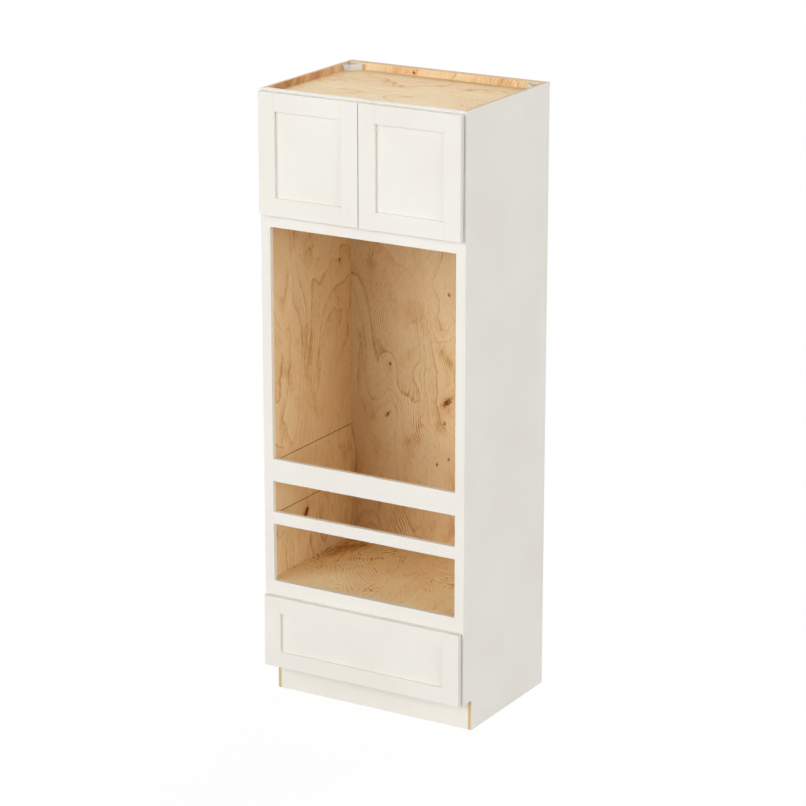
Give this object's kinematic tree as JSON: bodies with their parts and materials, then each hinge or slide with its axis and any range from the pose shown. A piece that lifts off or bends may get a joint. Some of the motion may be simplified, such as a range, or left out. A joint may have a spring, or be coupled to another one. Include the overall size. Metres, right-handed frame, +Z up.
{
  "type": "tall oven housing cabinet",
  "caption": "Tall face-frame kitchen unit with an open oven cavity, a cupboard with hinged doors above, smaller open bays and a deep dovetailed drawer below over a toe kick.",
  "frame": {"origin": "middle of the footprint, on the floor", "axes": "+Z up, the front with doors and drawer faces -Y, +X to the right seen from the front"},
  "size_m": [0.8382, 0.6334, 2.286],
  "materials": {
    "painted_wood": "satin warm white paint",
    "veneered_board": "clear coated pale hardwood veneer",
    "drawer_wood": "clear coated solid pale hardwood",
    "steel": "zinc plated",
    "white_plastic": "matt moulded"
  },
  "bodies": {
    "carcass": {"frame_stile_left": "painted_wood", "frame_stile_right": "painted_wood", "frame_rail_bottom": "painted_wood", "frame_rail_drawer": "painted_wood", "frame_rail_middle": "painted_wood", "frame_rail_oven": "painted_wood", "frame_rail_upper": "painted_wood", "frame_rail_top": "painted_wood", "side_panel_left": "painted_wood", "side_panel_right": "painted_wood", "toe_board": "painted_wood", "back_panel": "veneered_board", "base_floor": "veneered_board", "oven_deck": "veneered_board", "cupboard_floor": "veneered_board", "top_deck": "veneered_board", "hang_rail_bottom": "veneered_board", "hang_rail_middle": "veneered_board", "hang_rail_top": "veneered_board", "corner_brace_left": "white_plastic", "corner_brace_right": "white_plastic", "hinge_arm_left_lower": "steel", "hinge_arm_left_upper": "steel", "hinge_arm_right_lower": "steel", "hinge_arm_right_upper": "steel", "slide_rail_left": "steel", "slide_rail_right": "steel", "slide_socket_left": "white_plastic", "slide_socket_right": "white_plastic"},
    "left_door": {"left_door_hinge_stile": "painted_wood", "left_door_meeting_stile": "painted_wood", "left_door_rail_bottom": "painted_wood", "left_door_rail_top": "painted_wood", "left_door_panel": "painted_wood", "hinge_cup_left_lower": "steel", "hinge_cup_left_upper": "steel"},
    "right_door": {"right_door_hinge_stile": "painted_wood", "right_door_meeting_stile": "painted_wood", "right_door_rail_bottom": "painted_wood", "right_door_rail_top": "painted_wood", "right_door_panel": "painted_wood", "hinge_cup_right_lower": "steel", "hinge_cup_right_upper": "steel"},
    "drawer": {"drawer_front_stile_left": "painted_wood", "drawer_front_stile_right": "painted_wood", "drawer_front_rail_bottom": "painted_wood", "drawer_front_rail_top": "painted_wood", "drawer_front_panel": "painted_wood", "drawer_box_front": "drawer_wood", "drawer_box_back": "drawer_wood", "drawer_side_left": "drawer_wood", "drawer_side_right": "drawer_wood", "drawer_bottom": "drawer_wood", "slide_runner_left": "steel", "slide_runner_right": "steel"},
    "left_carrier": {"slide_carrier_left": "steel"},
    "right_carrier": {"slide_carrier_right": "steel"}
  },
  "joints": [
    {"name": "left_door_hinge", "type": "hinge", "parent": "carcass", "child": "left_door", "pos_m": [-0.40396, -0.3041, 2.0558], "axis": [0, 0, -1], "range_deg": [0, 105]},
    {"name": "right_door_hinge", "type": "hinge", "parent": "carcass", "child": "right_door", "pos_m": [0.40396, -0.3041, 2.0558], "axis": [0, 0, 1], "range_deg": [0, 105]},
    {"name": "drawer_slide", "type": "slide", "parent": "carcass", "child": "drawer", "axis": [0, -1, 0], "range_m": [0, 0.508]},
    {"name": "left_carrier_slide", "type": "slide", "parent": "carcass", "child": "left_carrier", "axis": [0, -1, 0], "range_m": [0, 0.254]},
    {"name": "right_carrier_slide", "type": "slide", "parent": "carcass", "child": "right_carrier", "axis": [0, -1, 0], "range_m": [0, 0.254]}
  ],
  "couplings": [
    {"joint": "left_carrier_slide", "follows": "drawer_slide", "ratio": 0.5},
    {"joint": "right_carrier_slide", "follows": "drawer_slide", "ratio": 0.5}
  ]
}
